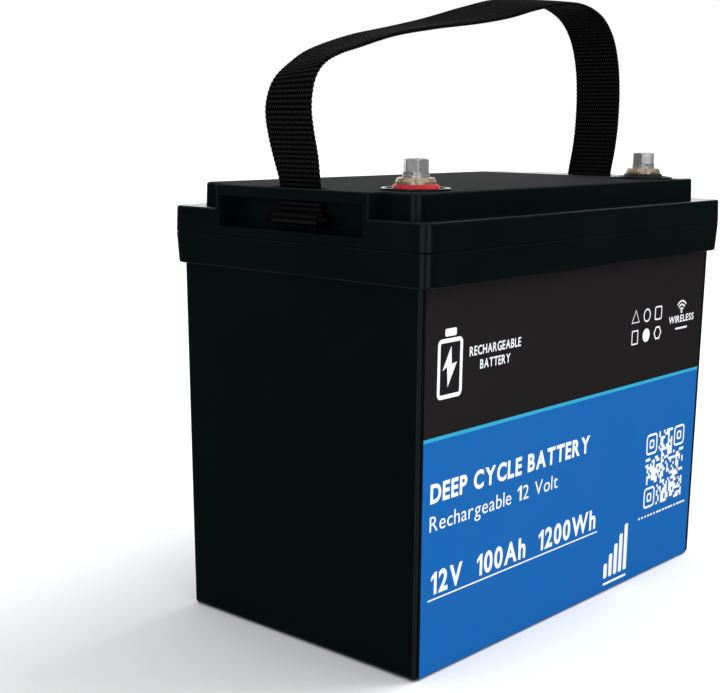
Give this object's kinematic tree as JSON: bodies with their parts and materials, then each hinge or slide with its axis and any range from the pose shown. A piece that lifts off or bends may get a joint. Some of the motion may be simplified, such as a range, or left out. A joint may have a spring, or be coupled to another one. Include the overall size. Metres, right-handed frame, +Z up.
{
  "type": "deep cycle battery",
  "caption": "Sealed deep cycle battery: drafted case with a rim, stepped lid, end pockets for a webbing carry strap, and two bolted threaded terminals at one long edge.",
  "frame": {"origin": "centre of the base, on the surface it stands on", "axes": "+Z up, +X along the labelled long side towards the negative terminal, -Y out of the labelled face"},
  "size_m": [0.26, 0.162, 0.3094],
  "materials": {
    "black_shell": "gloss black moulded ABS",
    "label_sheet": "printed polyester sheet",
    "webbing": "black ribbed webbing",
    "pin_steel": "blackened steel",
    "collar_plastic": "gloss black",
    "red_plastic": "gloss red",
    "black_plastic": "satin black",
    "terminal_brass": "machined brass",
    "bolt_steel": "bright stainless",
    "washer_steel": "bright stainless",
    "cell_can": "blue film on an aluminium can",
    "insulation_sheet": "glass epoxy sheet",
    "plate_aluminium": "mill finish",
    "band_steel": "bare strip",
    "foam": "closed cell foam",
    "copper": "plated copper",
    "circuit_board": "solder mask",
    "component_black": "epoxy mould compound",
    "connector_white": "nylon",
    "cable_red": "silicone sleeve",
    "cable_black": "silicone sleeve",
    "tinned_lug": "tinned copper",
    "sense_wire": "silicone sleeve"
  },
  "bodies": {
    "root": {"case": "black_shell", "lid": "black_shell", "front_label": "label_sheet", "strap_tail_left": "webbing", "strap_tail_right": "webbing", "strap_pin_left": "pin_steel", "strap_pin_right": "pin_steel", "positive_terminal_collar": "collar_plastic", "negative_terminal_collar": "collar_plastic", "positive_terminal_ring": "red_plastic", "negative_terminal_ring": "black_plastic", "positive_terminal_insert": "terminal_brass", "negative_terminal_insert": "terminal_brass", "terminal_nuts": "terminal_brass", "cell_1": "cell_can", "cell_2": "cell_can", "cell_3": "cell_can", "cell_4": "cell_can", "cell_insulation_sheets": "insulation_sheet", "end_plate_left": "plate_aluminium", "end_plate_right": "plate_aluminium", "pack_bands": "band_steel", "floor_pad": "foam", "front_pad": "foam", "end_pad_left": "foam", "end_pad_right": "foam", "busbar_1_2": "copper", "busbar_2_3": "copper", "busbar_3_4": "copper", "busbar_screws": "bolt_steel", "top_tray": "insulation_sheet", "heat_sink": "plate_aluminium", "bms_board": "circuit_board", "board_standoffs": "terminal_brass", "board_screws": "bolt_steel", "mosfets": "component_black", "board_parts": "component_black", "sense_connector": "connector_white", "radio_module": "component_black", "cable_lugs": "tinned_lug", "positive_cable": "cable_red", "pack_negative_cable": "cable_black", "output_negative_cable": "cable_black", "sense_harness": "sense_wire", "temperature_probe": "sense_wire"},
    "carry_strap": {"carry_strap": "webbing"},
    "positive_washers": {"positive_flat_washer": "washer_steel", "positive_spring_washer": "washer_steel"},
    "positive_bolt": {"positive_terminal_bolt": "bolt_steel"},
    "negative_washers": {"negative_flat_washer": "washer_steel", "negative_spring_washer": "washer_steel"},
    "negative_bolt": {"negative_terminal_bolt": "bolt_steel"}
  },
  "joints": [
    {"name": "strap_fold", "type": "hinge", "parent": "root", "child": "carry_strap", "pos_m": [0, 0, 0.228], "axis": [1, 0, 0], "range_deg": [-80, 55], "stiffness_Nm_per_rad": 0.04},
    {"name": "positive_bolt_lift", "type": "slide", "parent": "root", "child": "positive_washers", "axis": [0, 0, 1], "range_m": [0, 0.012]},
    {"name": "positive_bolt_turn", "type": "hinge", "parent": "positive_washers", "child": "positive_bolt", "pos_m": [-0.098, -0.048, 0.2225], "axis": [0, 0, 1], "range_deg": [0, 4320]},
    {"name": "negative_bolt_lift", "type": "slide", "parent": "root", "child": "negative_washers", "axis": [0, 0, 1], "range_m": [0, 0.012]},
    {"name": "negative_bolt_turn", "type": "hinge", "parent": "negative_washers", "child": "negative_bolt", "pos_m": [0.098, -0.048, 0.2225], "axis": [0, 0, 1], "range_deg": [0, 4320]}
  ],
  "couplings": [
    {"joint": "positive_bolt_turn", "follows": "positive_bolt_lift", "rad_per_m": 6283.2},
    {"joint": "negative_bolt_turn", "follows": "negative_bolt_lift", "rad_per_m": 6283.2}
  ]
}
